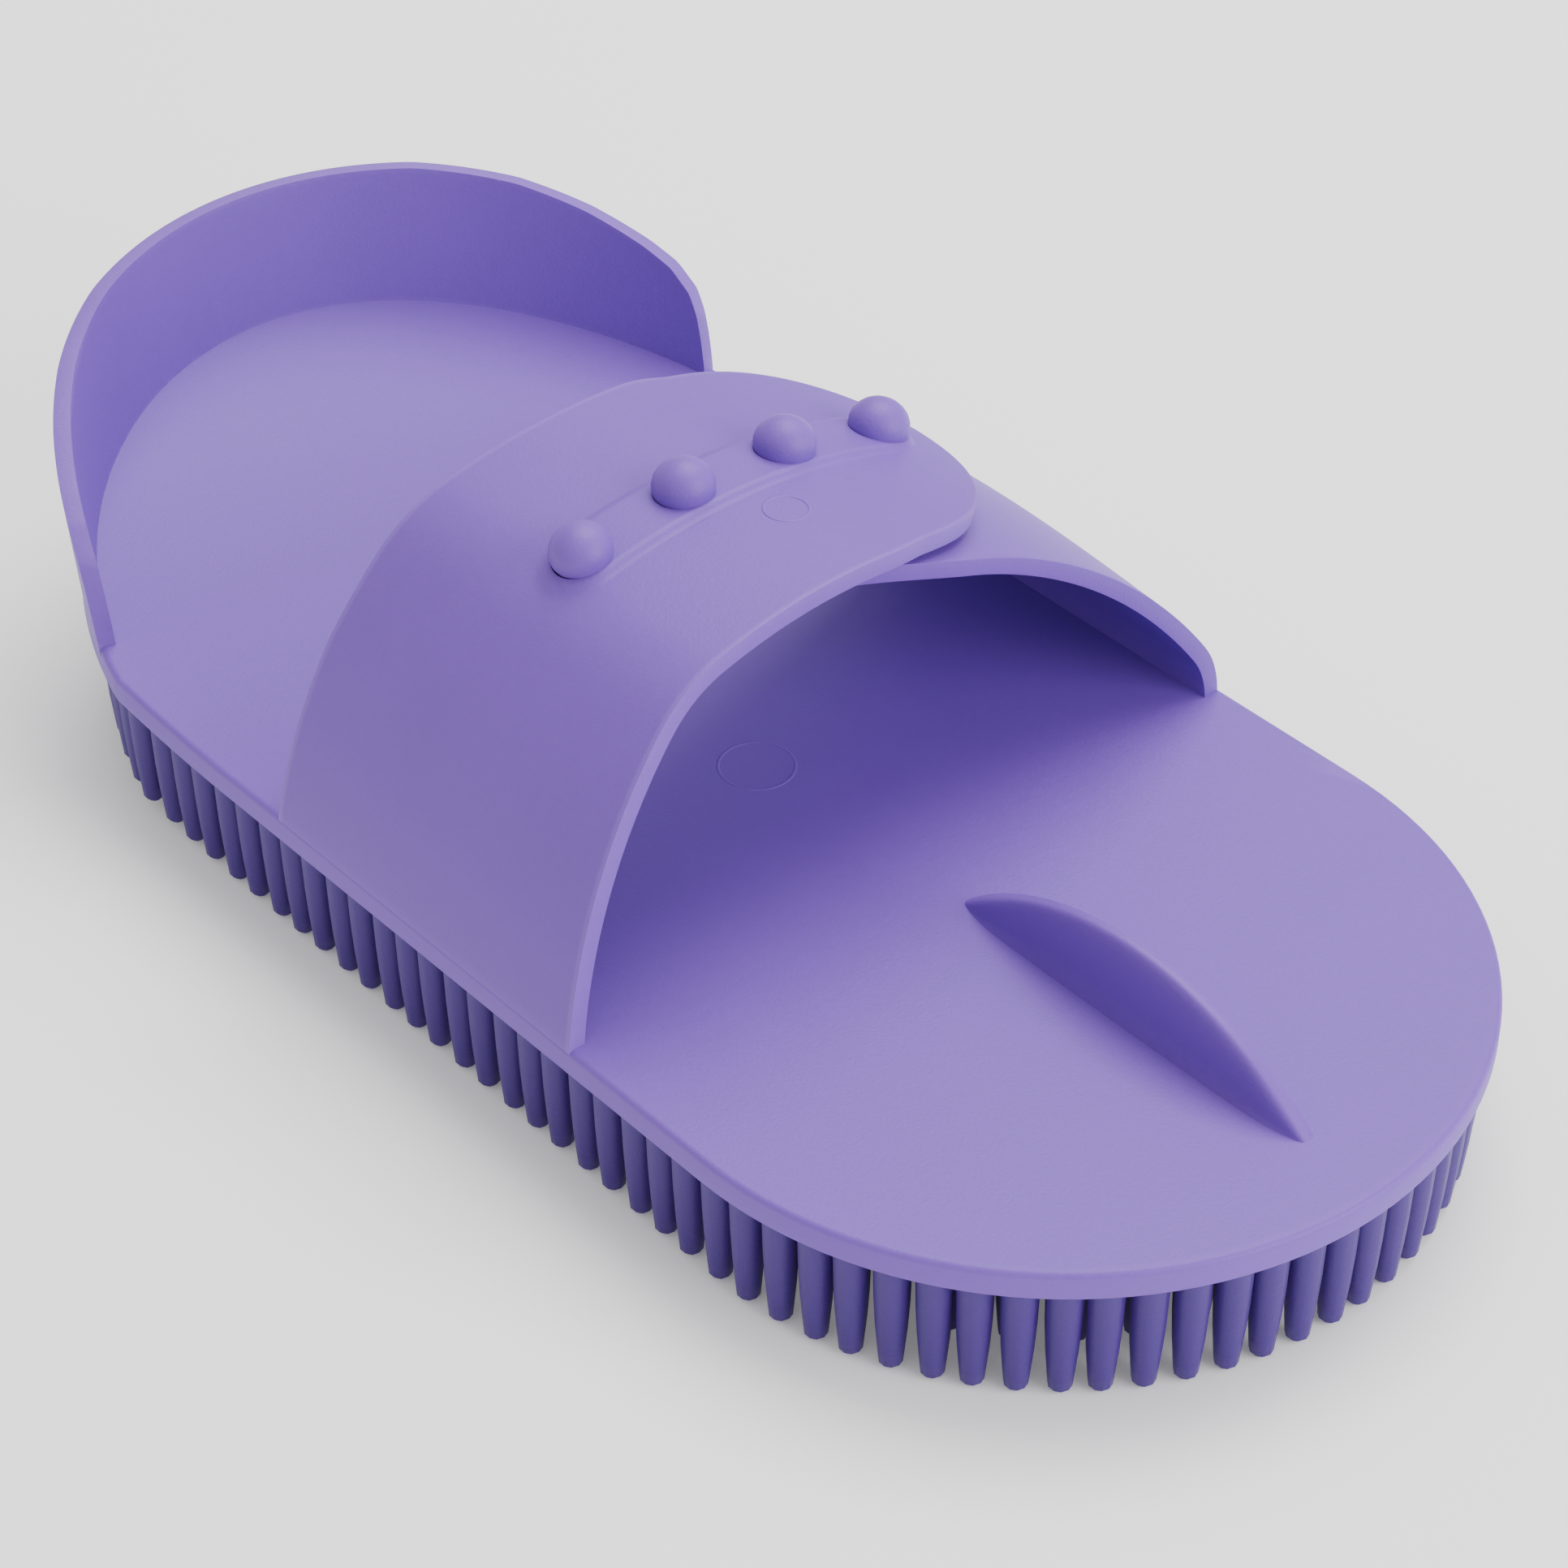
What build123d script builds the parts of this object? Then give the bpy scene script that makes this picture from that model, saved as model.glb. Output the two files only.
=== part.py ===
from build123d import *
import math
import os

# Curry comb for grooming horses: a flexible pad with rings of teeth underneath, a flange
# round the heel, a finger rib, and a hand strap of two wings that button together.
# Millimetres, +Z up, -Y towards the fingers, +Y towards the heel. The tips of the outer
# teeth are at z = 0, and the origin is at the middle of the comb's footprint.

# pad
overall_length = 190.6
pad_half_width = 46.6
plate_thickness = 3.5
edge_round = 1.2
heel_half_width = 48.0  # the ellipse that ends the pad at the heel, a little wider than the pad
heel_reach = 51.8
bend_start_y = 32.4  # the pad is flat up to here, then curves up towards the heel
bend_radius = 173.1
bend_turn = 28.0

# heel flange: its outer face rises from the pad's edge
flange_wall = 2.0
flange_side_slope = 0.06  # how far the wall leans out for each millimetre of height
flange_back_slope = 0.11
rim_line = [  # from the side: distance along, height over the pad
    (57.8, -1.0), (58.6, 6.5), (60.4, 12.2), (66.4, 17.2), (80.0, 23.6), (97.5, 27.6),
]
rim_top = 27.2

# finger rib
rib_front_y = -85.7
rib_back_y = -36.9
rib_height = 9.3
rib_thickness = 3.0
rib_round = 1.2

# teeth
tooth_length = 14.5
tooth_root_radius = 1.95
tooth_middle_radius = 1.75
tooth_tip_radius = 1.2
tooth_root_extra = 1.0  # modelled inside the pad, then cut to its underside
outer_pitch = 4.2
inner_pitch = 6.2
ring_inset = 2.9  # from the pad's edge to the outer ring
ring_spacing = 6.5
ring_count = 7
inner_ring_lift = 0.3  # the outer ring carries the comb, so the others end a little higher

# hand strap: each wing follows an arch, given as (radius, turn in degrees) from the near side.
# The under wing's runs from edge to edge. The over wing's is flatter at the top, so it lifts
# off the under wing towards its tip.
arch_start_x = -44.4
arch_start_heading = 76.3
under_arch = [(60.0, 31.0), (15.4, 31.0), (60.0, 39.0), (64.0, 31.0), (10.5, 34.3)]
over_arch = [(60.0, 31.0), (15.4, 31.0), (68.0, 75.0)]
wing_thickness = 2.0
wing_gap = 0.15  # the over wing's clearance above the under wing
hinge_gap = 0.3  # the wings' clearance above the pad
strap_front = [(-28.3, 0.0), (-18.9, 60.0)]  # the strap's edges from the side, drawing in upwards
strap_back = [(21.8, 0.0), (21.8, 19.0), (21.2, 28.0), (20.2, 34.0), (16.0, 60.0)]
over_tongue = [
    (6.5, -24.8), (17.3, -18.5), (24.0, -7.5), (24.8, 5.3), (20.5, 13.2), (11.5, 17.2), (-6.0, 20.3),
]
under_tip_x = -31.0
under_tip_half_width = 15.0

# studs on the under wing, and the raised strip on the over wing that their holes pass through
stud_count = 4
stud_pitch = 13.2
first_stud_along = 41.4  # from the near edge of the pad, along the arch
stud_row_y = -1.0
stem_radius = 1.9
head_radius = 3.4
head_height = 3.6
head_gap = 0.2
hole_radius = 3.2
hole_shift = 0.7  # the strap's pull draws each hole towards the near side of its stem
strip_height = 0.6
strip_half_width = 3.9

# worked out from the driving dimensions
pad_front_y = -overall_length / 2
pad_top_z = tooth_length + plate_thickness
front_axis_y = pad_front_y + pad_half_width
heel_axis_y = overall_length / 2 - heel_reach - flange_back_slope * rim_top
far_out = 150.0


def pad_outline(inset):
    """The pad's outline from above, drawn in by inset: a half circle, two sides, an ellipse."""
    half = pad_half_width - inset
    heel_half = heel_half_width - inset
    corner = math.degrees(math.acos(half / heel_half))
    centre = (0, heel_axis_y)
    turn = 180 - 2 * corner
    heel = EllipticalCenterArc(centre, heel_half, heel_reach - inset, start_angle=corner, arc_size=turn)
    front = ThreePointArc((-half, front_axis_y), (0, front_axis_y - half), (half, front_axis_y))
    return Wire([front, Line(front @ 1, heel @ 0), heel, Line(heel @ 1, front @ 0)])


def upright(outline, low=-far_out, high=far_out):
    """A block with this outline, between two heights."""
    return Pos(0, 0, low) * extrude(Face(outline), high - low)


def across(face):
    """A block across the whole comb, from a face in the plane of its length and height."""
    return extrude(face, far_out, dir=(1, 0, 0), both=True)


def surface_line(height):
    """The line at this height over the pad's top, from the side: straight, then curving up."""
    radius = bend_radius - height
    centre_z = pad_top_z + bend_radius

    def on_bend(turn):
        angle = math.radians(turn)
        return (0, bend_start_y + radius * math.sin(angle), centre_z - radius * math.cos(angle))

    flat = Line((0, -far_out, pad_top_z + height), on_bend(0))
    bend = ThreePointArc(on_bend(0), on_bend(bend_turn / 2), on_bend(bend_turn))
    return [flat, bend]


def layer(low, high):
    """Everything between two heights over the pad's top."""
    bottom = surface_line(low)
    top = surface_line(high)
    front = Line(bottom[0] @ 0, top[0] @ 0)
    back = Line(bottom[1] @ 1, top[1] @ 1)
    return across(Face(Wire([*bottom, back, *top, front])))


def make_pad_plate():
    """The flexible pad, flat under the palm and curved up at the heel, with a rounded edge."""
    plate = upright(pad_outline(0)) & layer(-plate_thickness, 0)
    outline_edges = plate.edges().filter_by(lambda edge: edge.length > plate_thickness + 1)
    return fillet(outline_edges, edge_round)


def heel_cone(inset):
    """A leaning elliptical block over the heel, whose side is one face of the flange."""
    half = heel_half_width - inset
    reach = heel_reach - inset
    height = 2 * rim_top
    top_half = half + flange_side_slope * height
    top_reach = reach + flange_back_slope * height
    foot = Pos(0, heel_axis_y, pad_top_z) * Ellipse(half, reach)
    top = Pos(0, heel_axis_y, pad_top_z + height) * Ellipse(top_half, top_reach)
    return loft([foot, top])


def make_heel_flange():
    """The wall round the heel, highest at the back and running down to the sides."""
    wall = heel_cone(0) - heel_cone(flange_wall)
    rim = Spline(*[(0, y, pad_top_z + z) for y, z in rim_line])
    low_back = (0, rim_line[-1][0], -far_out)
    low_front = (0, rim_line[0][0], -far_out)
    below = Polyline(rim @ 1, low_back, low_front, rim @ 0)
    wall &= across(Face(Wire([rim, *below.edges()])))
    return wall - layer(-far_out / 2, 0)


def make_finger_rib():
    """The half-moon fin between the fingers, on the flat part of the pad."""
    middle_y = (rib_front_y + rib_back_y) / 2
    crest = ThreePointArc(
        (0, rib_front_y, pad_top_z),
        (0, middle_y, pad_top_z + rib_height),
        (0, rib_back_y, pad_top_z),
    )
    face = Face(Wire([crest, Line(crest @ 1, crest @ 0)]))
    fin = extrude(face, rib_thickness / 2, dir=(1, 0, 0), both=True)
    crest_edges = fin.edges().filter_by(GeomType.CIRCLE)
    return fillet(crest_edges, rib_round)


def make_tooth(length):
    """One tapered tooth with a round tip, hanging from the origin."""
    tip_z = tooth_tip_radius - length
    middle = (tooth_middle_radius, 0, tip_z / 2)
    side = ThreePointArc((tooth_root_radius, 0, 0), middle, (tooth_tip_radius, 0, tip_z))
    bevel = math.sqrt(0.5) * tooth_tip_radius
    tip = ThreePointArc((tooth_tip_radius, 0, tip_z), (bevel, 0, tip_z - bevel), (0, 0, -length))
    rest = Polyline((0, 0, -length), (0, 0, 0), (tooth_root_radius, 0, 0))
    return revolve(Face(Wire([side, tip, *rest.edges()])), Axis.Z)


def make_tooth_ring(number):
    """One ring of teeth, evenly spaced along an outline parallel to the pad's edge."""
    length = tooth_length + tooth_root_extra
    pitch = outer_pitch
    if number > 1:
        length -= inner_ring_lift
        pitch = inner_pitch
    tooth = make_tooth(length)
    pad_layer = layer(-plate_thickness, plate_thickness)
    line = pad_outline(ring_inset + (number - 1) * ring_spacing)
    count = round(line.length / pitch)
    stagger = 0.5 * (number % 2)
    teeth = []
    for index in range(count):
        spot = line.position_at((index + stagger) * line.length / count, PositionMode.LENGTH)
        bend_y = max(0.0, spot.Y - bend_start_y)
        outer_radius = bend_radius + plate_thickness
        underside_z = pad_top_z + bend_radius - math.sqrt(outer_radius**2 - bend_y**2)
        root = Pos(spot.X, spot.Y, underside_z + tooth_root_extra)
        teeth.append((root * tooth - pad_layer).solid())
    return Compound(teeth)


def arch_spot(arch, along, height):
    """The point this far along an arch and over it, with the arch's heading there."""
    x = arch_start_x
    z = pad_top_z
    heading = math.radians(arch_start_heading)
    for radius, turn in arch:
        used = min(along, radius * math.radians(turn))
        after = heading - used / radius
        x += radius * (math.sin(heading) - math.sin(after))
        z += radius * (math.cos(after) - math.cos(heading))
        heading = after
        along -= used
    return x - height * math.sin(heading), z + height * math.cos(heading), heading


def arch_line(arch, height):
    """An arch's line from end to end at this height over it, as tangent arcs."""
    arcs = []
    along = 0.0
    for radius, turn in arch:
        length = radius * math.radians(turn)
        spots = [arch_spot(arch, along + part * length, height) for part in (0, 0.5, 1)]
        arcs.append(ThreePointArc(*[(x, 0, z) for x, z, _ in spots]))
        along += length
    return arcs


def arch_band(arch, low, high):
    """A whole arch between two heights over its line, as wide as the strap and over the pad."""
    bottom = arch_line(arch, low)
    top = arch_line(arch, high)
    near = Line(bottom[0] @ 0, top[0] @ 0)
    far = Line(bottom[-1] @ 1, top[-1] @ 1)
    band = extrude(Face(Wire([*bottom, far, *top, near])), far_out, dir=(0, 1, 0), both=True)
    low_z = pad_top_z + hinge_gap
    corners = [*strap_front, *reversed(strap_back)]
    sides = Polyline(*[(0, y, low_z + z) for y, z in corners], close=True)
    return band & across(Face(Wire(sides.edges())))


def over_tip_outline():
    """The over wing's outline from above: straight from the near edge, then a wide round tongue."""
    tongue = Spline(*over_tongue)
    wide = far_out / 2
    front_x = over_tongue[0][0]
    back_x = over_tongue[-1][0]
    rest = Polyline(
        over_tongue[-1], (back_x, wide), (-wide, wide), (-wide, -wide), (front_x, -wide), over_tongue[0]
    )
    return Wire([tongue, *rest.edges()])


def stud_block(outline_radius, shift, low, high, number):
    """A round block on a stud's own axis, between two heights over the over wing's arch."""
    along = first_stud_along + number * stud_pitch
    x, z, heading = arch_spot(over_arch, along, 0)
    frame = Plane(
        origin=(x, stud_row_y, z),
        x_dir=(math.cos(heading), 0, math.sin(heading)),
        z_dir=(-math.sin(heading), 0, math.cos(heading)),
    )
    block = Pos(-shift, 0, (low + high) / 2) * Cylinder(outline_radius, high - low)
    return frame * block


def holes():
    """The round blocks that cut the over wing's holes, through the strip as well."""
    top = wing_gap + wing_thickness + strip_height + 1
    return [stud_block(hole_radius, hole_shift, -1, top, number) for number in range(stud_count)]


def make_over_strap():
    """The wing rooted on the near edge, which lies on top and has the holes."""
    wing = arch_band(over_arch, wing_gap, wing_gap + wing_thickness) & upright(over_tip_outline())
    return wing - holes()


def make_hole_strip():
    """The raised strip along the over wing that stiffens the row of holes."""
    low = wing_gap + wing_thickness
    first_x = arch_spot(over_arch, first_stud_along, 0)[0]
    last_x = arch_spot(over_arch, first_stud_along + (stud_count - 1) * stud_pitch, 0)[0]
    middle = ((first_x + last_x) / 2, stud_row_y)
    length = last_x - first_x + 2 * strip_half_width + 2 * hole_shift
    outline = Pos(*middle) * SlotOverall(length, 2 * strip_half_width)
    block = Pos(0, 0, pad_top_z) * extrude(outline, far_out)
    return (arch_band(over_arch, low, low + strip_height) & block) - holes()


def make_under_strap():
    """The wing rooted on the far edge, which lies underneath and carries the studs."""
    half = under_tip_half_width
    shoulder_x = under_tip_x + half
    tip = ThreePointArc(
        (shoulder_x, stud_row_y + half), (under_tip_x, stud_row_y), (shoulder_x, stud_row_y - half)
    )
    wide = far_out / 2
    flare_x = shoulder_x + 2 * half
    rest = Polyline(
        (shoulder_x, stud_row_y - half), (flare_x, -wide / 2), (wide, -wide / 2),
        (wide, wide / 2), (flare_x, wide / 2), (shoulder_x, stud_row_y + half),
    )
    return arch_band(under_arch, -wing_thickness, 0) & upright(Wire([tip, *rest.edges()]))


def make_stud(number):
    """A stem that stands on the under wing, with a domed head over the hole."""
    head_z = wing_gap + wing_thickness + strip_height + head_gap
    stem = stud_block(stem_radius, 0, -2 * wing_thickness, head_z + 1, number)
    dome = stud_block(head_radius, 0, head_z, head_z + head_height, number)
    top_edge = dome.edges().filter_by(GeomType.CIRCLE).sort_by(Axis.Z)[-1]
    whole = stem + fillet(top_edge, head_height * 0.9)
    return whole - arch_band(under_arch, -3 * wing_thickness, 0)


def write_node(name, shape):
    """One sub-part, in a file of its own."""
    export_step(shape, f"parts/{name}.step")


os.makedirs("parts", exist_ok=True)
write_node("pad_plate", make_pad_plate())
write_node("heel_flange", make_heel_flange())
write_node("finger_rib", make_finger_rib())
for ring in range(1, ring_count + 1):
    write_node(f"tooth_ring_{ring}", make_tooth_ring(ring))
write_node("over_strap", make_over_strap())
write_node("hole_strip", make_hole_strip())
write_node("under_strap", make_under_strap())
for stud in range(stud_count):
    write_node(f"stud_{stud + 1}", make_stud(stud))
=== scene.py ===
import bpy
import math
from mathutils import Matrix, Vector


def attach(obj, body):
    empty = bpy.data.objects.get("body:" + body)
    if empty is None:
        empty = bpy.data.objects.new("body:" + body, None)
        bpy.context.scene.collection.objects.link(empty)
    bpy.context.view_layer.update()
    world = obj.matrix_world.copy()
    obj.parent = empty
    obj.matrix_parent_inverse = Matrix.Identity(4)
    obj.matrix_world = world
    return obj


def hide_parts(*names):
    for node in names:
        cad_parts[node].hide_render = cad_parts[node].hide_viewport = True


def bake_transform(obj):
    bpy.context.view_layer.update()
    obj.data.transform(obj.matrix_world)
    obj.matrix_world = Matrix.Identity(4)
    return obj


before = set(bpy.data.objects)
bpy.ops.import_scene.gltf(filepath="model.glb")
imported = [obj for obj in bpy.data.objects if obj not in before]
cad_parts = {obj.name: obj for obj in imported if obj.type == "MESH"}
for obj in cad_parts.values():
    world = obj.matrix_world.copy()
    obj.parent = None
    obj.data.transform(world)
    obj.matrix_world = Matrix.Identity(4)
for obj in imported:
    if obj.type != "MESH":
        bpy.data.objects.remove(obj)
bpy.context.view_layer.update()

# ---------------------------------------------------------------------------------------
# Pad. The flexible sole of the comb, one flat sheet of soft violet plastic under the palm
# that curves up at the heel. It is moulded in one with everything else on the comb.
# ---------------------------------------------------------------------------------------

pad_half_width = 0.0466
pad_thickness = 0.0035
pad_front_y = -0.0953
pad_top_z = 0.018
heel_axis_y = 0.0405
heel_half_width = 0.048
heel_reach = 0.0518
bend_start_y = 0.0324
bend_radius = 0.1731
edge_radius = 0.0015
front_share = 0.16  # of the outline's turn, from the front's middle to the start of a side
heel_share = 0.19  # from the end of a side to the heel's middle


def pad_height(y):
    """Height of the pad's top at this distance along the comb."""
    past = max(0.0, y - bend_start_y)
    return pad_top_z + bend_radius - math.sqrt(bend_radius**2 - past**2)


def pad_edge(turn):
    """A point on the pad's outline, for a turn from 0 to 1 that starts at the front."""
    front_y = pad_front_y + pad_half_width
    corner = math.acos(pad_half_width / heel_half_width)
    corner_y = heel_axis_y + heel_reach * math.sin(corner)
    side = 1.0
    if turn > 0.5:
        turn = 1.0 - turn
        side = -1.0
    if turn < front_share:
        angle = math.radians(90) * turn / front_share
        x = pad_half_width * math.sin(angle)
        y = front_y - pad_half_width * math.cos(angle)
    elif turn < 0.5 - heel_share:
        part = (turn - front_share) / (0.5 - heel_share - front_share)
        x = pad_half_width
        y = front_y + (corner_y - front_y) * part
    else:
        part = (turn - 0.5 + heel_share) / heel_share
        angle = corner + (math.radians(90) - corner) * part
        x = heel_half_width * math.cos(angle)
        y = heel_axis_y + heel_reach * math.sin(angle)
    return side * x, y


def start_mesh_work(piece):
    """Edit mode on this piece alone, with all of it selected."""
    bpy.ops.object.select_all(action="DESELECT")
    piece.select_set(True)
    bpy.context.view_layer.objects.active = piece
    bpy.ops.object.mode_set(mode="EDIT")
    bpy.ops.mesh.select_all(action="SELECT")


def apply_all(piece):
    """Applies the piece's modifiers in order, then smooths it up to a sharp angle."""
    bpy.ops.object.select_all(action="DESELECT")
    piece.select_set(True)
    bpy.context.view_layer.objects.active = piece
    for modifier in list(piece.modifiers):
        bpy.ops.object.modifier_apply(modifier=modifier.name)
    bpy.ops.object.shade_smooth_by_angle(angle=math.radians(40))


bpy.ops.object.select_all(action="DESELECT")
bpy.ops.mesh.primitive_circle_add(vertices=200, radius=pad_half_width, fill_type="NOTHING")
pad = bpy.context.object
pad.name = "pad"
for vertex in pad.data.vertices:
    turn = (math.atan2(vertex.co.x, -vertex.co.y) / (2 * math.pi)) % 1.0
    vertex.co = (*pad_edge(turn), 0.0)
start_mesh_work(pad)
bpy.ops.mesh.select_mode(type="EDGE")
reach = 1.0
for nearer in (0.985, 0.955, 0.92, 0.87, 0.81, 0.74, 0.66, 0.57, 0.47, 0.36, 0.25):
    bpy.ops.mesh.extrude_edges_move()
    shrink = nearer / reach
    bpy.ops.transform.resize(value=(shrink, shrink, 1.0), center_override=(0.0, -0.002, 0.0))
    reach = nearer
bpy.ops.mesh.edge_face_add()
bpy.ops.mesh.select_all(action="SELECT")
bpy.ops.mesh.normals_make_consistent(inside=False)
bpy.ops.object.mode_set(mode="OBJECT")
if pad.data.polygons[0].normal.z < 0:
    start_mesh_work(pad)
    bpy.ops.mesh.flip_normals()
    bpy.ops.object.mode_set(mode="OBJECT")
for vertex in pad.data.vertices:
    vertex.co.z = pad_height(vertex.co.y)
pad_wall = pad.modifiers.new("wall", "SOLIDIFY")
pad_wall.thickness = pad_thickness
pad_wall.offset = -1.0
pad_rounding = pad.modifiers.new("rounding", "BEVEL")
pad_rounding.width = edge_radius
pad_rounding.segments = 5
pad_rounding.angle_limit = math.radians(50)
apply_all(pad)


def plastic_skin():
    """The node group for moulded plastic: colour mottling, fine grain and a painted highlight that
    lightens the colour on sharp edges, rims and crests.
    """
    group = bpy.data.node_groups.new("plastic skin", "ShaderNodeTree")
    sides = group.interface
    sides.new_socket("Body Colour", in_out="INPUT", socket_type="NodeSocketColor")
    sides.new_socket("Edge Highlight Colour", in_out="INPUT", socket_type="NodeSocketColor")
    sides.new_socket("Mottling", in_out="INPUT", socket_type="NodeSocketFloat")
    sides.new_socket("Roughness", in_out="INPUT", socket_type="NodeSocketFloat")
    sides.new_socket("Colour", in_out="OUTPUT", socket_type="NodeSocketColor")
    sides.new_socket("Rough", in_out="OUTPUT", socket_type="NodeSocketFloat")
    sides.new_socket("Height", in_out="OUTPUT", socket_type="NodeSocketFloat")
    node = group.nodes.new
    link = group.links.new
    given = node("NodeGroupInput")
    result = node("NodeGroupOutput")
    place = node("ShaderNodeTexCoord")
    cloud = node("ShaderNodeTexNoise")
    cloud.inputs["Scale"].default_value = 55.0
    cloud.inputs["Detail"].default_value = 3.0
    speck = node("ShaderNodeTexNoise")
    speck.inputs["Scale"].default_value = 900.0
    speck.inputs["Detail"].default_value = 2.0
    grain = node("ShaderNodeTexNoise")
    grain.inputs["Scale"].default_value = 2600.0
    grain.inputs["Detail"].default_value = 2.0
    for noise in (cloud, speck, grain):
        link(place.outputs["Object"], noise.inputs["Vector"])
    both = node("ShaderNodeMath")
    both.operation = "MULTIPLY_ADD"
    both.inputs[1].default_value = 0.6
    link(cloud.outputs["Fac"], both.inputs[0])
    half = node("ShaderNodeMath")
    half.operation = "MULTIPLY"
    half.inputs[1].default_value = 0.4
    link(speck.outputs["Fac"], half.inputs[0])
    link(half.outputs[0], both.inputs[2])
    centred = node("ShaderNodeMath")
    centred.operation = "SUBTRACT"
    centred.inputs[1].default_value = 0.5
    link(both.outputs[0], centred.inputs[0])
    strength = node("ShaderNodeMath")
    strength.operation = "MULTIPLY_ADD"
    strength.inputs[2].default_value = 1.0
    link(centred.outputs[0], strength.inputs[0])
    link(given.outputs["Mottling"], strength.inputs[1])
    # Painted highlight: where the mesh is pointy, on rims, crests and rounded edges, the colour is mixed
    # towards the lighter edge colour. This stands in for the light that rounded edges catch.
    edge_highlight = node("ShaderNodeNewGeometry")
    edge_highlight_mask = node("ShaderNodeMapRange")
    edge_highlight_mask.inputs["From Min"].default_value = 0.52
    edge_highlight_mask.inputs["From Max"].default_value = 0.62
    link(edge_highlight.outputs["Pointiness"], edge_highlight_mask.inputs["Value"])
    base = node("ShaderNodeMix")
    base.data_type = "RGBA"
    link(edge_highlight_mask.outputs["Result"], base.inputs["Factor"])
    link(given.outputs["Body Colour"], base.inputs["A"])
    link(given.outputs["Edge Highlight Colour"], base.inputs["B"])
    shade = node("ShaderNodeVectorMath")
    shade.operation = "SCALE"
    link(base.outputs["Result"], shade.inputs[0])
    link(strength.outputs[0], shade.inputs["Scale"])
    link(shade.outputs[0], result.inputs["Colour"])
    rough = node("ShaderNodeMath")
    rough.operation = "MULTIPLY_ADD"
    rough.inputs[1].default_value = 0.18
    link(centred.outputs[0], rough.inputs[0])
    link(given.outputs["Roughness"], rough.inputs[2])
    link(rough.outputs[0], result.inputs["Rough"])
    link(grain.outputs["Fac"], result.inputs["Height"])
    return group


skin = plastic_skin()


def violet_plastic(name, body, edge_highlight, mottling, roughness, grain):
    """Satin violet plastic for one part of the moulding. The parts share one plastic and differ only in
    painted shade and in the colour of their painted edge highlight.
    """
    material = bpy.data.materials.new(name)
    material.use_nodes = True
    nodes = material.node_tree.nodes
    link = material.node_tree.links.new
    surface = nodes["Principled BSDF"]
    coat = nodes.new("ShaderNodeGroup")
    coat.node_tree = skin
    coat.inputs["Body Colour"].default_value = (*body, 1.0)
    coat.inputs["Edge Highlight Colour"].default_value = (*edge_highlight, 1.0)
    coat.inputs["Mottling"].default_value = mottling
    coat.inputs["Roughness"].default_value = roughness
    link(coat.outputs["Colour"], surface.inputs["Base Color"])
    link(coat.outputs["Rough"], surface.inputs["Roughness"])
    bump = nodes.new("ShaderNodeBump")
    bump.inputs["Strength"].default_value = grain
    bump.inputs["Distance"].default_value = 0.0002
    link(coat.outputs["Height"], bump.inputs["Height"])
    link(bump.outputs["Normal"], surface.inputs["Normal"])
    surface.inputs["Subsurface Weight"].default_value = 0.12
    surface.inputs["Subsurface Radius"].default_value = (0.0016, 0.0012, 0.003)
    surface.inputs["Specular IOR Level"].default_value = 0.35
    return material


# Painted highlight: the edge colour is a little lighter than the body. It lightens the pad's rims and
# the rounded rim of the flange.
pad_plastic = violet_plastic(
    "pad plastic", (0.158, 0.066, 0.425), (0.18, 0.082, 0.455), 0.18, 0.5, 0.18
)
pad.data.materials.append(pad_plastic)
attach(pad, "pad")
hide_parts("pad_plate")

# ---------------------------------------------------------------------------------------
# Gate mark. A shallow round ring left in the middle of the pad where the plastic entered
# the mould.
# ---------------------------------------------------------------------------------------

gate_ring_radius = 0.00425
bpy.ops.object.select_all(action="DESELECT")
bpy.ops.mesh.primitive_torus_add(
    location=(-0.0018, -0.005, pad_top_z - 0.00012), major_radius=gate_ring_radius,
    minor_radius=0.00026, major_segments=72, minor_segments=8,
)
gate_mark = bpy.context.object
gate_mark.name = "gate_mark"
bpy.ops.object.transform_apply(location=True, rotation=True, scale=True)
start_mesh_work(gate_mark)
bpy.ops.transform.resize(value=(1.0, 1.0, 0.7), center_override=(0.0, 0.0, pad_top_z - 0.00012))
bpy.ops.object.mode_set(mode="OBJECT")
bpy.ops.object.shade_smooth()
gate_mark.data.materials.append(pad_plastic)
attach(gate_mark, "pad")

# ---------------------------------------------------------------------------------------
# Heel flange. A thin upright wall moulded round the pad's curved end, highest at the back,
# which keeps the heel of the hand on the comb. Its rim is rounded.
# ---------------------------------------------------------------------------------------

flange_wall = 0.002
flange_side_slope = 0.06
flange_back_slope = 0.11
rim_line = [
    (0.0578, 0.0), (0.0580, 0.003), (0.0586, 0.0065), (0.0593, 0.0095), (0.0604, 0.0122),
    (0.0630, 0.0151), (0.0664, 0.0172), (0.0730, 0.0206), (0.0800, 0.0236), (0.0880, 0.0260),
    (0.0975, 0.0276),
]


def rim_height(y):
    """Height of the flange's rim over the flat pad, at this distance along."""
    for (y0, z0), (y1, z1) in zip(rim_line, rim_line[1:]):
        if y <= y1:
            return z0 + (z1 - z0) * max(0.0, (y - y0) / (y1 - y0))
    return rim_line[-1][1]


def new_sheet(name, columns, rows, spot):
    """A grid of columns by rows, laid where spot(u, v) says, for u and v from 0 to 1."""
    bpy.ops.object.select_all(action="DESELECT")
    bpy.ops.mesh.primitive_grid_add(x_subdivisions=columns, y_subdivisions=rows, size=2)
    sheet = bpy.context.object
    sheet.name = name
    for vertex in sheet.data.vertices:
        vertex.co = spot((vertex.co.x + 1) / 2, (vertex.co.y + 1) / 2)
    return sheet


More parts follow.
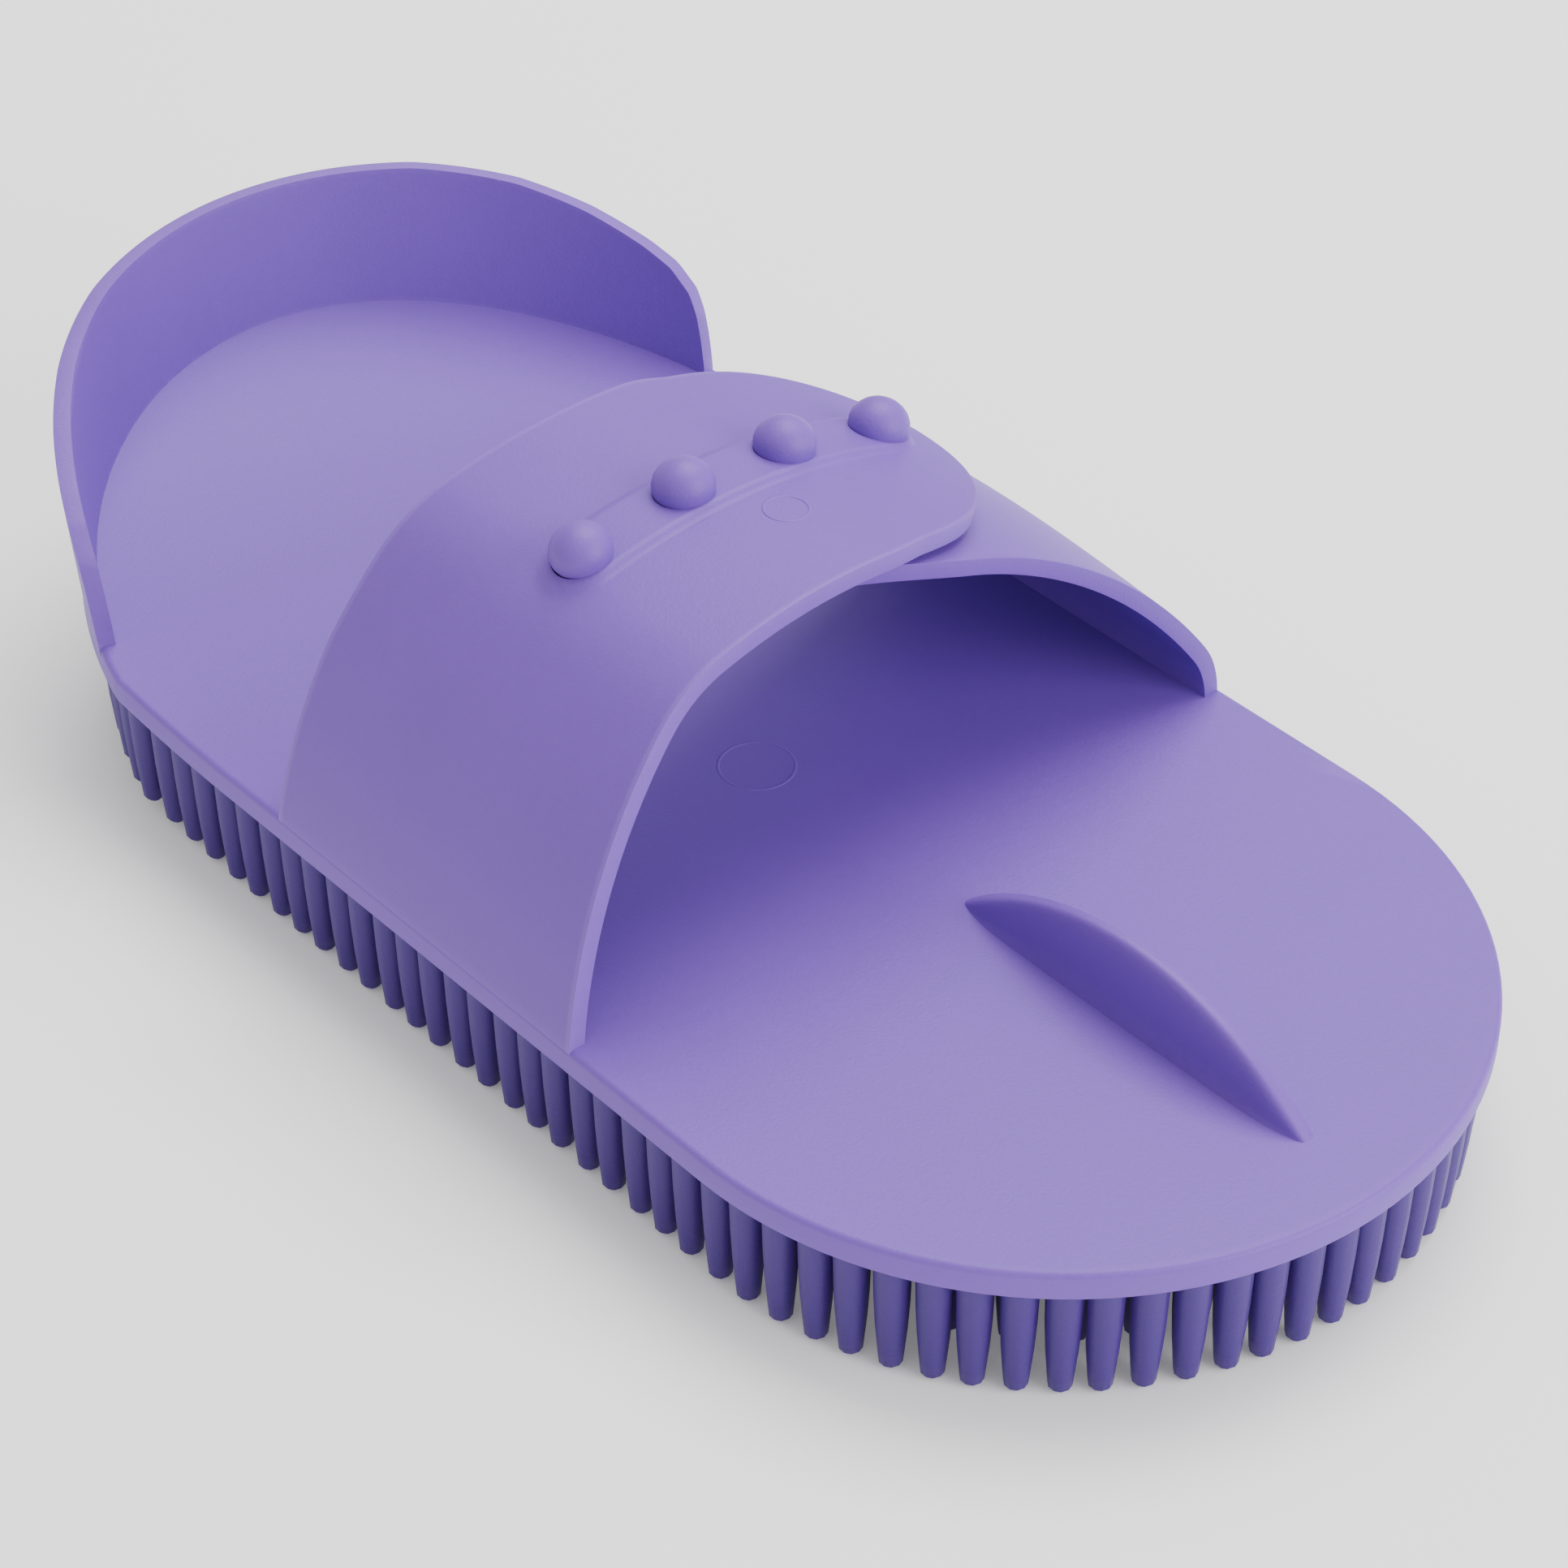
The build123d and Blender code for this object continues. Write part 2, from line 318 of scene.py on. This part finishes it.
def flange_spot(u, v):
    """The middle of the flange's wall: u runs round the heel, v from the pad to the rim."""
    first = math.asin((0.0579 - heel_axis_y) / heel_reach)
    angle = first + (math.pi - 2 * first) * (0.5 - 0.5 * math.cos(math.pi * u))
    foot_y = heel_axis_y + (heel_reach - flange_wall / 2) * math.sin(angle)
    low = pad_height(foot_y) - pad_top_z - 0.001
    high = low
    for step in range(12):
        rim_y = foot_y + flange_back_slope * high * math.sin(angle)
        high = 0.5 * (high + rim_height(rim_y))
    z = low + (max(high, low + 0.0005) - low) * v
    half = heel_half_width - flange_wall / 2 + flange_side_slope * z
    reach = heel_reach - flange_wall / 2 + flange_back_slope * z
    return half * math.cos(angle), heel_axis_y + reach * math.sin(angle), pad_top_z + z


flange = new_sheet("heel_flange", 150, 22, flange_spot)
flange_walls = flange.modifiers.new("wall", "SOLIDIFY")
flange_walls.thickness = flange_wall
flange_walls.offset = 0.0
flange_rounding = flange.modifiers.new("rounding", "BEVEL")
flange_rounding.width = 0.00085
flange_rounding.segments = 4
flange_rounding.angle_limit = math.radians(50)
apply_all(flange)
flange.data.materials.append(pad_plastic)
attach(flange, "pad")
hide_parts("heel_flange")

# ---------------------------------------------------------------------------------------
# Finger rib. A half-moon fin moulded along the middle of the pad's front, which sits
# between two fingers. Its crest is rounded all the way along.
# ---------------------------------------------------------------------------------------

rib_front_y = -0.0857
rib_back_y = -0.0369
rib_height = 0.0093
rib_half_thickness = 0.0015
rib_radius = ((rib_back_y - rib_front_y) ** 2 / 4 + rib_height**2) / (2 * rib_height)


def rib_spot(u, v):
    """u runs along the rib, v over it from one side to the other."""
    middle_y = (rib_front_y + rib_back_y) / 2
    half_length = (rib_back_y - rib_front_y) / 2
    along = -math.cos(math.pi * u) * half_length
    crest = math.sqrt(rib_radius**2 - along**2) - (rib_radius - rib_height)
    side = math.cos(math.pi * v)
    width = rib_half_thickness * min(1.0, 0.45 + 0.9 * math.sqrt(max(crest, 0.0) / rib_height))
    x = width * math.copysign(abs(side) ** 0.6, side)
    rise = math.sin(math.pi * v) ** 0.75
    root = 0.0008 * (1.0 - rise) ** 6 * math.copysign(1.0, side)
    return x + root, middle_y + along, pad_top_z - 0.0006 + (crest + 0.0006) * rise


rib = new_sheet("finger_rib", 80, 28, rib_spot)
start_mesh_work(rib)
bpy.ops.mesh.remove_doubles(threshold=0.00001)
bpy.ops.mesh.select_all(action="DESELECT")
bpy.ops.mesh.select_non_manifold()
bpy.ops.mesh.edge_face_add()
bpy.ops.mesh.select_all(action="SELECT")
bpy.ops.mesh.normals_make_consistent(inside=False)
bpy.ops.object.mode_set(mode="OBJECT")
apply_all(rib)
# Painted highlight: the rib's edge colour is much lighter than its body, so its rounded crest is painted
# lighter than the lamps alone make it.
rib_plastic = violet_plastic(
    "rib plastic", (0.158, 0.066, 0.42), (0.24, 0.125, 0.54), 0.16, 0.48, 0.16
)
rib.data.materials.append(rib_plastic)
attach(rib, "pad")
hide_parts("finger_rib")

# ---------------------------------------------------------------------------------------
# Teeth. Seven rings of tapered teeth moulded under the pad, the outer ring set close
# together and a little longer than the rings inside it.
# ---------------------------------------------------------------------------------------

tooth_length = 0.0145
ring_spacing = 0.0065
ring_inset = 0.0029
ring_count = 7
outer_pitch = 0.0042
inner_pitch = 0.0062
inner_ring_lift = 0.0003
root_depth = 0.0008  # how far a tooth's root is sunk in the pad
tooth_mesh_length = 0.0153


def turned(name, sides, profile):
    """A round piece on the Z axis, drawn up or down through (radius, height) steps."""
    bpy.ops.object.select_all(action="DESELECT")
    radius, height = profile[0]
    bpy.ops.mesh.primitive_circle_add(
        vertices=sides, radius=radius, fill_type="NGON", location=(0.0, 0.0, height)
    )
    piece = bpy.context.object
    piece.name = name
    bpy.ops.object.transform_apply(location=True, rotation=True, scale=True)
    start_mesh_work(piece)
    bpy.ops.mesh.select_mode(type="FACE")
    for next_radius, next_height in profile[1:]:
        move = {"value": (0.0, 0.0, next_height - height)}
        bpy.ops.mesh.extrude_region_move(TRANSFORM_OT_translate=move)
        shrink = next_radius / radius
        bpy.ops.transform.resize(value=(shrink, shrink, 1.0), center_override=(0.0, 0.0, next_height))
        radius = next_radius
        height = next_height
    bpy.ops.mesh.select_all(action="SELECT")
    bpy.ops.mesh.normals_make_consistent(inside=False)
    bpy.ops.object.mode_set(mode="OBJECT")
    return piece


def ring_line(inset):
    """Points about half a millimetre apart along the pad's outline, drawn in by inset."""
    point_count = 1200
    line = []
    for index in range(point_count):
        x, y = pad_edge(index / point_count)
        next_x, next_y = pad_edge((index + 0.5) / point_count)
        ahead = Vector((next_x - x, next_y - y)).normalized()
        line.append(Vector((x, y)) + inset * Vector((-ahead.y, ahead.x)))
    return line


tooth = turned("tooth", 10, [
    (0.00195, 0.0), (0.00192, -0.003), (0.00183, -0.0065), (0.00165, -0.0100),
    (0.0014, -0.0130), (0.00125, -0.0147), (0.0007, -tooth_mesh_length),
])
# Painted shade: the teeth are the same plastic as the pad but coloured about a third as bright, standing
# in for the shade under the pad. Their slightly lighter edge colour is a painted highlight.
tooth_plastic_painted_shade = violet_plastic(
    "tooth plastic painted shade", (0.043, 0.015, 0.165), (0.055, 0.022, 0.195), 0.2, 0.5, 0.2
)
tooth.data.materials.append(tooth_plastic_painted_shade)
for number in range(1, ring_count + 1):
    line = ring_line(ring_inset + (number - 1) * ring_spacing)
    steps = [(line[(i + 1) % len(line)] - line[i]).length for i in range(len(line))]
    pitch = outer_pitch if number == 1 else inner_pitch
    length = root_depth + (tooth_length if number == 1 else tooth_length - inner_ring_lift)
    stretch = Matrix.Diagonal((1.0, 1.0, length / tooth_mesh_length, 1.0))
    count = round(sum(steps) / pitch)
    stagger = 0.5 * (number % 2)
    copies = []
    for index in range(count):
        left = (index + stagger) * sum(steps) / count
        spot = 0
        while left > steps[spot % len(steps)]:
            left -= steps[spot % len(steps)]
            spot += 1
        at = line[spot % len(line)]
        underside = pad_height(at.y) - pad_thickness
        copy = tooth.copy()
        copy.data = tooth.data.copy()
        copy.data.transform(Matrix.Translation((at.x, at.y, underside + root_depth)) @ stretch)
        bpy.context.collection.objects.link(copy)
        copies.append(copy)
    bpy.ops.object.select_all(action="DESELECT")
    for copy in copies:
        copy.select_set(True)
    bpy.context.view_layer.objects.active = copies[0]
    bpy.ops.object.join()
    bpy.ops.object.shade_smooth_by_angle(angle=math.radians(40))
    ring = bpy.context.object
    ring.name = f"tooth_ring_{number}"
    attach(ring, "pad")
    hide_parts(f"tooth_ring_{number}")
bpy.data.objects.remove(tooth)

# ---------------------------------------------------------------------------------------
# Under wing of the hand strap. It grows from the far edge of the pad, arches over the
# hand and carries the four studs. Its tip is rounded and lies under the over wing.
# ---------------------------------------------------------------------------------------

arch_start_x = -0.0444
arch_start_heading = 76.3
under_arch = [(0.0600, 31.0), (0.0154, 31.0), (0.0600, 39.0), (0.0640, 31.0), (0.0105, 34.3)]
over_arch = [(0.0600, 31.0), (0.0154, 31.0), (0.0680, 75.0)]
wing_thickness = 0.002
wing_gap = 0.00015
stud_row_y = -0.001
strap_front = [(-0.0283, 0.0), (-0.0189, 0.060)]
strap_back = [(0.0218, 0.0), (0.0218, 0.019), (0.0212, 0.028), (0.0202, 0.034), (0.0160, 0.060)]


def along_line(points, at):
    """The first value of a list of pairs, where the second value is at."""
    for (a0, b0), (a1, b1) in zip(points, points[1:]):
        if at <= b1:
            return a0 + (a1 - a0) * max(0.0, (at - b0) / (b1 - b0))
    return points[-1][0]


def arch_spot(arch, along, height):
    """The place this far along an arch and over it: x, z and the arch's heading there."""
    x = arch_start_x
    z = pad_top_z
    heading = math.radians(arch_start_heading)
    if along < 0:
        z += along
    for radius, turn in arch:
        used = min(max(along, 0.0), radius * math.radians(turn))
        after = heading - used / radius
        x += radius * (math.sin(heading) - math.sin(after))
        z += radius * (math.cos(after) - math.cos(heading))
        heading = after
        along -= used
    if along > 0:
        x += along * math.cos(heading)
        z += along * math.sin(heading)
    return x - height * math.sin(heading), z + height * math.cos(heading), heading


def arch_length(arch):
    """The whole length of an arch."""
    return sum(radius * math.radians(turn) for radius, turn in arch)


def along_at(arch, x):
    """How far along an arch its line reaches this x."""
    low = 0.0
    high = arch_length(arch)
    for step in range(40):
        middle = (low + high) / 2
        if arch_spot(arch, middle, 0.0)[0] < x:
            low = middle
        else:
            high = middle
    return low


under_tip_x = -0.031
under_tip_half_width = 0.015
under_flare_length = 0.028
under_swell = 0.0014  # how far the middle of the wing stands out past its edges
under_root_tuck = 0.0002
under_start = along_at(under_arch, under_tip_x)
under_end = arch_length(under_arch) + 0.0022


def under_spot(u, v):
    """The middle of the under wing: u runs from its tip to the far edge, v across it."""
    part = 1.0 - math.cos(0.5 * math.pi * min(1.0, u * 3.0)) if u < 1 / 3 else 1.0
    first = 0.3 * (under_end - under_start)
    past = max(0.0, u - 1 / 3) * 1.5
    along = under_start + first * part + (under_end - under_start - first) * past
    x, z, heading = arch_spot(under_arch, along, -wing_thickness / 2)
    front = along_line(strap_front, z - pad_top_z)
    back = along_line(strap_back, z - pad_top_z)
    past_tip = x - under_tip_x
    if past_tip < under_tip_half_width:
        half = math.sqrt(max(0.0, 1.0 - (1.0 - past_tip / under_tip_half_width) ** 2))
        half *= under_tip_half_width
    else:
        half = under_tip_half_width
    flare = min(1.0, max(0.0, (past_tip - under_tip_half_width) / under_flare_length))
    flare = flare * flare * (3 - 2 * flare)
    low = (1 - flare) * (stud_row_y - half) + flare * front
    high = (1 - flare) * (stud_row_y + half) + flare * back
    y = max(low, front) * (1 - v) + min(high, back) * v
    root = max(0.0, min(1.0, (pad_top_z + 0.004 - z) / 0.006))
    swell = math.sin(math.pi * v) * max(0.0, math.sin(math.pi * min(1.0, past / 0.98)))
    out = under_swell * swell
    x -= out * math.sin(heading) + under_root_tuck * root
    return x, y, z + out * math.cos(heading)


def finish_wing(wing, rounding):
    """Gives a wing its thickness and rounds its edges."""
    thickness = wing.modifiers.new("thickness", "SOLIDIFY")
    thickness.thickness = wing_thickness
    thickness.offset = 0.0
    edges = wing.modifiers.new("rounding", "BEVEL")
    edges.width = rounding
    edges.segments = 4
    edges.angle_limit = math.radians(50)
    apply_all(wing)


# Painted highlight: the edge colour is a little lighter than the body. It lightens the rounded edges of
# the wings and the studs.
strap_plastic = violet_plastic(
    "strap plastic", (0.156, 0.065, 0.42), (0.19, 0.09, 0.47), 0.18, 0.5, 0.18
)
under_wing = new_sheet("under_strap", 130, 60, under_spot)
start_mesh_work(under_wing)
bpy.ops.mesh.remove_doubles(threshold=0.00002)
bpy.ops.object.mode_set(mode="OBJECT")
finish_wing(under_wing, 0.0009)
under_wing.data.materials.append(strap_plastic)
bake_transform(under_wing)
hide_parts("under_strap")

# ---------------------------------------------------------------------------------------
# Over wing of the hand strap. It grows from the near edge of the pad, lies on the under
# wing and ends in a broad tongue. A low strip on it stiffens its four stud holes.
# ---------------------------------------------------------------------------------------

tongue_start_x = -0.006
tongue_front_y = -0.0262
tongue_back_y = 0.0203
over_tip_x = 0.0252
over_end = along_at(over_arch, over_tip_x)
over_start = -0.0022


def meet(straight, round_end):
    """The nearer of two edges, with the corner where they cross rounded off."""
    if round_end < 0.0001:
        return round_end
    return (straight**-12 + round_end**-12) ** (-1 / 12)


def over_spot(u, v):
    """The middle of the over wing: u runs from the near edge to the tip, v across it."""
    share = 0.62
    if u < share:
        along = over_start + (over_end - over_start) * 0.7 * u / share
    else:
        part = math.sin(0.5 * math.pi * (u - share) / (1 - share))
        along = over_start + (over_end - over_start) * (0.7 + 0.3 * part)
    x, z, heading = arch_spot(over_arch, along, wing_gap + wing_thickness / 2)
    front = along_line(strap_front, z - pad_top_z)
    back = along_line(strap_back, z - pad_top_z)
    if x > tongue_start_x:
        part = min(1.0, (x - tongue_start_x) / (over_tip_x - tongue_start_x))
        clear = 0.03 * max(0.0, 1.0 - part / 0.4) ** 2
        front = -meet(-front, clear - tongue_front_y * math.sqrt(1.0 - part**2.2))
        back = meet(back, clear + tongue_back_y * math.sqrt(1.0 - part**2.5))
    return x, front * (1 - v) + back * v, z


over_wing = new_sheet("over_strap", 150, 110, over_spot)
start_mesh_work(over_wing)
bpy.ops.mesh.remove_doubles(threshold=0.00002)
bpy.ops.object.mode_set(mode="OBJECT")
finish_wing(over_wing, 0.0009)

# Hole strip. A low raised band with round ends, moulded on the over wing round its row of
# holes to stiffen it.
first_stud_along = 0.0414
stud_pitch = 0.0132
strip_half_width = 0.0039
strip_height = 0.0006
strip_slope = 0.0008
for vertex in over_wing.data.vertices:
    x, y, z = vertex.co
    along = along_at(over_arch, x)
    heading = arch_spot(over_arch, along, 0.0)[2]
    along = along_at(over_arch, x + 0.0021 * math.sin(heading))
    foot_x, foot_z, heading = arch_spot(over_arch, along, 0.0)
    height = (z - foot_z) * math.cos(heading) - (x - foot_x) * math.sin(heading)
    off_end = max(0.0, first_stud_along - along, along - first_stud_along - 3 * stud_pitch)
    from_middle = math.hypot(off_end, y - stud_row_y)
    lift = min(1.0, max(0.0, (strip_half_width + strip_slope / 2 - from_middle) / strip_slope))
    if height > wing_gap + 0.6 * wing_thickness and lift > 0:
        lift = strip_height * lift * lift * (3 - 2 * lift)
        vertex.co.x -= lift * math.sin(heading)
        vertex.co.z += lift * math.cos(heading)

hole_radius = 0.0031
hole_shift = 0.0003


def stud_place(number, shift):
    """Turns and moves a piece from the origin to a stud's foot on the over wing's arch."""
    x, z, heading = arch_spot(over_arch, first_stud_along + number * stud_pitch, 0.0)
    turn = Matrix.Rotation(-heading, 4, "Y")
    return Matrix.Translation((x, stud_row_y, z)) @ turn @ Matrix.Translation((-shift, 0.0, 0.0))


def cut_holes(piece):
    """Cuts the four stud holes through a piece."""
    for number in range(4):
        cutter = turned("hole", 40, [(hole_radius, -0.004), (hole_radius, 0.006)])
        cutter.data.transform(stud_place(number, hole_shift))
        cut = piece.modifiers.new("hole", "BOOLEAN")
        cut.object = cutter
        cut.solver = "EXACT"
        apply_all(piece)
        bpy.data.objects.remove(cutter)


cut_holes(over_wing)
over_wing.data.materials.append(strap_plastic)
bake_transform(over_wing)
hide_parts("over_strap", "hole_strip")

# ---------------------------------------------------------------------------------------
# Pin mark. The faint round ring left on the over wing by the pin that pushed the moulding
# out of its mould.
# ---------------------------------------------------------------------------------------

pin_along = along_at(over_arch, -0.0018)
pin_x, pin_z, pin_heading = arch_spot(over_arch, pin_along, wing_gap + wing_thickness - 0.0001)
bpy.ops.object.select_all(action="DESELECT")
bpy.ops.mesh.primitive_torus_add(
    major_radius=0.0024, minor_radius=0.0002, major_segments=56, minor_segments=8
)
pin_mark = bpy.context.object
pin_mark.name = "pin_mark"
start_mesh_work(pin_mark)
bpy.ops.transform.resize(value=(1.0, 1.0, 0.8), center_override=(0.0, 0.0, 0.0))
bpy.ops.object.mode_set(mode="OBJECT")
pin_mark.data.transform(
    Matrix.Translation((pin_x, -0.0098, pin_z)) @ Matrix.Rotation(-pin_heading, 4, "Y")
)
bpy.ops.object.shade_smooth()
pin_mark.data.materials.append(strap_plastic)
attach(pin_mark, "over_wing")

# ---------------------------------------------------------------------------------------
# Studs. Four round buttons moulded on the under wing, each with a short stem and a domed
# head that is pushed through a hole of the over wing to set the strap's size.
# ---------------------------------------------------------------------------------------

head_radius = 0.0034
head_foot = 0.0022
head_profile = [(0.0019, -0.0020), (0.0019, head_foot), (0.0030, head_foot + 0.0001)]
for degree in (-28, -12, 4, 20, 35, 50, 64, 76, 85):
    angle = math.radians(degree)
    ball_z = head_foot + 0.0012 + 0.0030 * math.sin(angle)
    head_profile.append((head_radius * math.cos(angle), ball_z))
for number in range(4):
    stud = turned(f"stud_{number + 1}", 48, head_profile)
    stud.data.transform(stud_place(number, 0.0))
    apply_all(stud)
    stud.data.materials.append(strap_plastic)
    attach(stud, "under_wing")
    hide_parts(f"stud_{number + 1}")

# ---------------------------------------------------------------------------------------
# Studio. A plain pale floor, broad soft lights and the camera.
# ---------------------------------------------------------------------------------------

bpy.ops.object.select_all(action="DESELECT")
bpy.ops.mesh.primitive_plane_add(size=8.0, location=(0.0, 0.0, -0.0002))
floor = bpy.context.object
floor.name = "floor"
bpy.ops.object.transform_apply(location=True, rotation=True, scale=True)
floor_paint = bpy.data.materials.new("floor paint")
floor_paint.use_nodes = True
floor_paint.node_tree.nodes["Principled BSDF"].inputs["Base Color"].default_value = (0.92, 0.92, 0.92, 1)
floor_paint.node_tree.nodes["Principled BSDF"].inputs["Roughness"].default_value = 0.9
floor_paint.node_tree.nodes["Principled BSDF"].inputs["Emission Color"].default_value = (1, 1, 1, 1)
floor_paint.node_tree.nodes["Principled BSDF"].inputs["Emission Strength"].default_value = 0.15
floor.data.materials.append(floor_paint)

world = bpy.data.worlds.new("studio")
world.use_nodes = True
world.node_tree.nodes["Background"].inputs["Color"].default_value = (1.0, 0.98, 0.97, 1.0)
world.node_tree.nodes["Background"].inputs["Strength"].default_value = 0.85
bpy.context.scene.world = world


def soft_light(name, place, size, power):
    """A broad square light that faces the middle of the comb."""
    bpy.ops.object.light_add(type="AREA", location=place)
    light = bpy.context.object
    light.name = name
    light.data.size = size
    light.data.energy = power
    light.rotation_mode = "QUATERNION"
    light.rotation_quaternion = (Vector(place) - Vector((0, 0, 0.02))).to_track_quat("Z", "Y")


soft_light("top light", (0.35, 0.15, 0.9), 0.7, 12.0)
soft_light("front light", (0.3, -1.0, 0.45), 0.8, 12.0)

camera_target = Vector((-0.00168, -0.00938, pad_top_z))
camera_place = camera_target + Vector((-0.2276, -0.2624, 0.27095))
bpy.ops.object.camera_add(location=camera_place)
camera = bpy.context.object
camera.name = "camera"
camera.rotation_mode = "QUATERNION"
camera.rotation_quaternion = (camera_place - camera_target).to_track_quat("Z", "Y")
camera.data.lens = 93.17
camera.data.sensor_width = 36.0
camera.data.clip_start = 0.01
camera.data.clip_end = 50.0
bpy.context.scene.camera = camera
